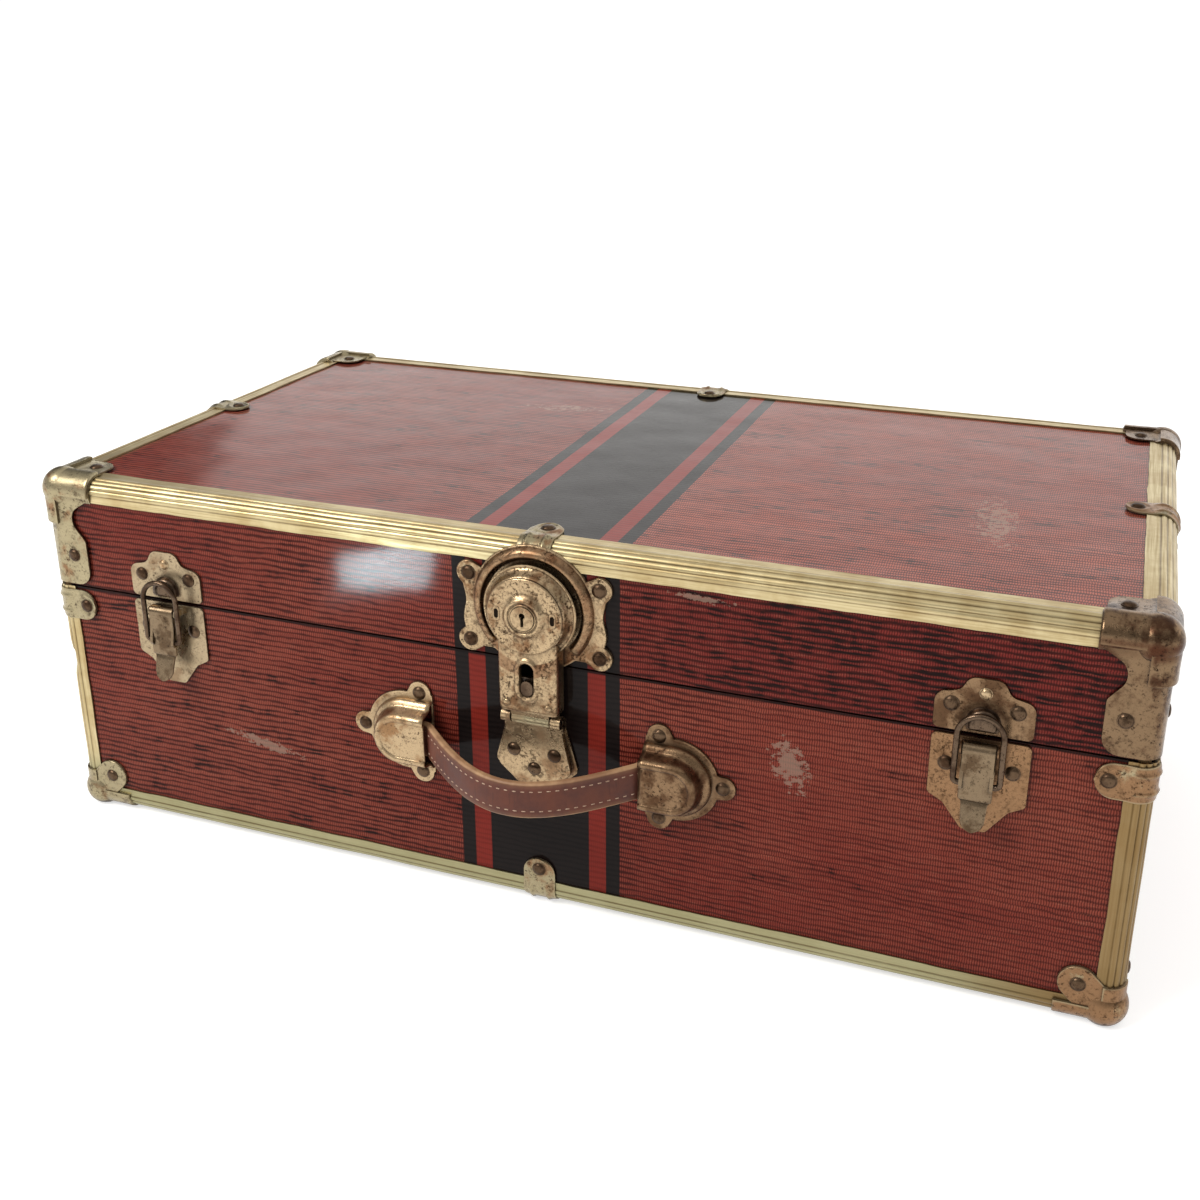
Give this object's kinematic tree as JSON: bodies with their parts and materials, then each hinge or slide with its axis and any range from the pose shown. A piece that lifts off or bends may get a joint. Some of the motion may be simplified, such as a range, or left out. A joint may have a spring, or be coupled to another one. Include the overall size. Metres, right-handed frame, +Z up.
{
  "type": "vintage suitcase",
  "caption": "Hard wooden suitcase covered in printed fibre, with ribbed brass edges, ball corners, a hinged lid, centre lock, draw latches and a leather handle.",
  "frame": {"origin": "on the ground under the middle of the bounding box", "axes": "+X to the right along the width, +Y from the front with the lock to the back with the hinges, +Z up"},
  "size_m": [0.665, 0.4029, 0.2335],
  "materials": {
    "board": "bare thin board",
    "covering": "varnished fibre printed with a woven grass-cloth grain and stripes",
    "lining": "plain glued lining",
    "binding_brass": "ribbed, dulled",
    "hardware_brass": "pressed, worn and stained",
    "rivet": "darkened",
    "steel": "tarnished wire and pins",
    "leather": "waxed and stitched"
  },
  "bodies": {
    "base": {"base_bottom_panel": "board", "base_front_wall": "board", "base_back_wall": "board", "base_left_wall": "board", "base_right_wall": "board", "base_lip": "board", "base_covering": "covering", "base_lining": "lining", "base_binding_front": "binding_brass", "base_binding_back": "binding_brass", "base_binding_left": "binding_brass", "base_binding_right": "binding_brass", "base_upright_bindings": "binding_brass", "base_corner_front_left": "hardware_brass", "base_corner_front_right": "hardware_brass", "base_corner_back_left": "hardware_brass", "base_corner_back_right": "hardware_brass", "base_corner_clips": "hardware_brass", "base_binding_clamps": "hardware_brass", "base_rivets": "rivet", "hasp_hinge_pin": "steel", "lock_base_plate": "hardware_brass", "left_latch_plate": "hardware_brass", "right_latch_plate": "hardware_brass", "latch_pins": "steel", "handle_cap_left": "hardware_brass", "handle_cap_right": "hardware_brass", "handle_pins": "steel", "hinge_base_leaves": "hardware_brass", "hinge_pins": "steel"},
    "lid": {"lid_top_panel": "board", "lid_front_wall": "board", "lid_back_wall": "board", "lid_left_wall": "board", "lid_right_wall": "board", "lid_covering": "covering", "lid_lining": "lining", "lid_binding_front": "binding_brass", "lid_binding_back": "binding_brass", "lid_binding_left": "binding_brass", "lid_binding_right": "binding_brass", "lid_corner_front_left": "hardware_brass", "lid_corner_front_right": "hardware_brass", "lid_corner_back_left": "hardware_brass", "lid_corner_back_right": "hardware_brass", "lid_binding_clamps": "hardware_brass", "lid_rivets": "rivet", "lock_lid_plate": "hardware_brass", "left_latch_keeper": "hardware_brass", "right_latch_keeper": "hardware_brass", "hinge_lid_leaves": "hardware_brass"},
    "hasp": {"lock_drum": "hardware_brass", "lock_hasp": "hardware_brass"},
    "key": {"key_cylinder": "hardware_brass"},
    "slide": {"release_slide": "steel"},
    "left_lever": {"left_latch_lever": "hardware_brass"},
    "left_loop": {"left_latch_loop": "steel"},
    "right_lever": {"right_latch_lever": "hardware_brass"},
    "right_loop": {"right_latch_loop": "steel"},
    "handle": {"handle_strap": "leather"}
  },
  "joints": [
    {"name": "lid_hinge", "type": "hinge", "parent": "base", "child": "lid", "pos_m": [0, 0.19835, 0.1595], "axis": [-1, 0, 0], "range_deg": [0, 100]},
    {"name": "hasp_hinge", "type": "hinge", "parent": "base", "child": "hasp", "pos_m": [0, -0.16155, 0.127], "axis": [1, 0, 0], "range_deg": [0, 80]},
    {"name": "key_turn", "type": "hinge", "parent": "hasp", "child": "key", "pos_m": [0, -0.16605, 0.1925], "axis": [0, -1, 0], "range_deg": [0, 90]},
    {"name": "release_slide", "type": "slide", "parent": "hasp", "child": "slide", "axis": [0, 0, 1], "range_m": [0, 0.01], "stiffness_N_per_m": 150},
    {"name": "left_lever_pivot", "type": "hinge", "parent": "base", "child": "left_lever", "pos_m": [-0.2455, -0.16125, 0.154], "axis": [-1, 0, 0], "range_deg": [0, 150]},
    {"name": "left_loop_pivot", "type": "hinge", "parent": "left_lever", "child": "left_loop", "pos_m": [-0.2455, -0.16425, 0.136], "axis": [-1, 0, 0], "range_deg": [-180, 0]},
    {"name": "right_lever_pivot", "type": "hinge", "parent": "base", "child": "right_lever", "pos_m": [0.2455, -0.16125, 0.154], "axis": [-1, 0, 0], "range_deg": [0, 150]},
    {"name": "right_loop_pivot", "type": "hinge", "parent": "right_lever", "child": "right_loop", "pos_m": [0.2455, -0.16425, 0.136], "axis": [-1, 0, 0], "range_deg": [-180, 0]},
    {"name": "handle_swing", "type": "hinge", "parent": "base", "child": "handle", "pos_m": [0, -0.16225, 0.101], "axis": [1, 0, 0], "range_deg": [-5, 15]}
  ],
  "couplings": [
    {"joint": "left_loop_pivot", "follows": "left_lever_pivot", "ratio": -1.2},
    {"joint": "right_loop_pivot", "follows": "right_lever_pivot", "ratio": -1.2}
  ]
}
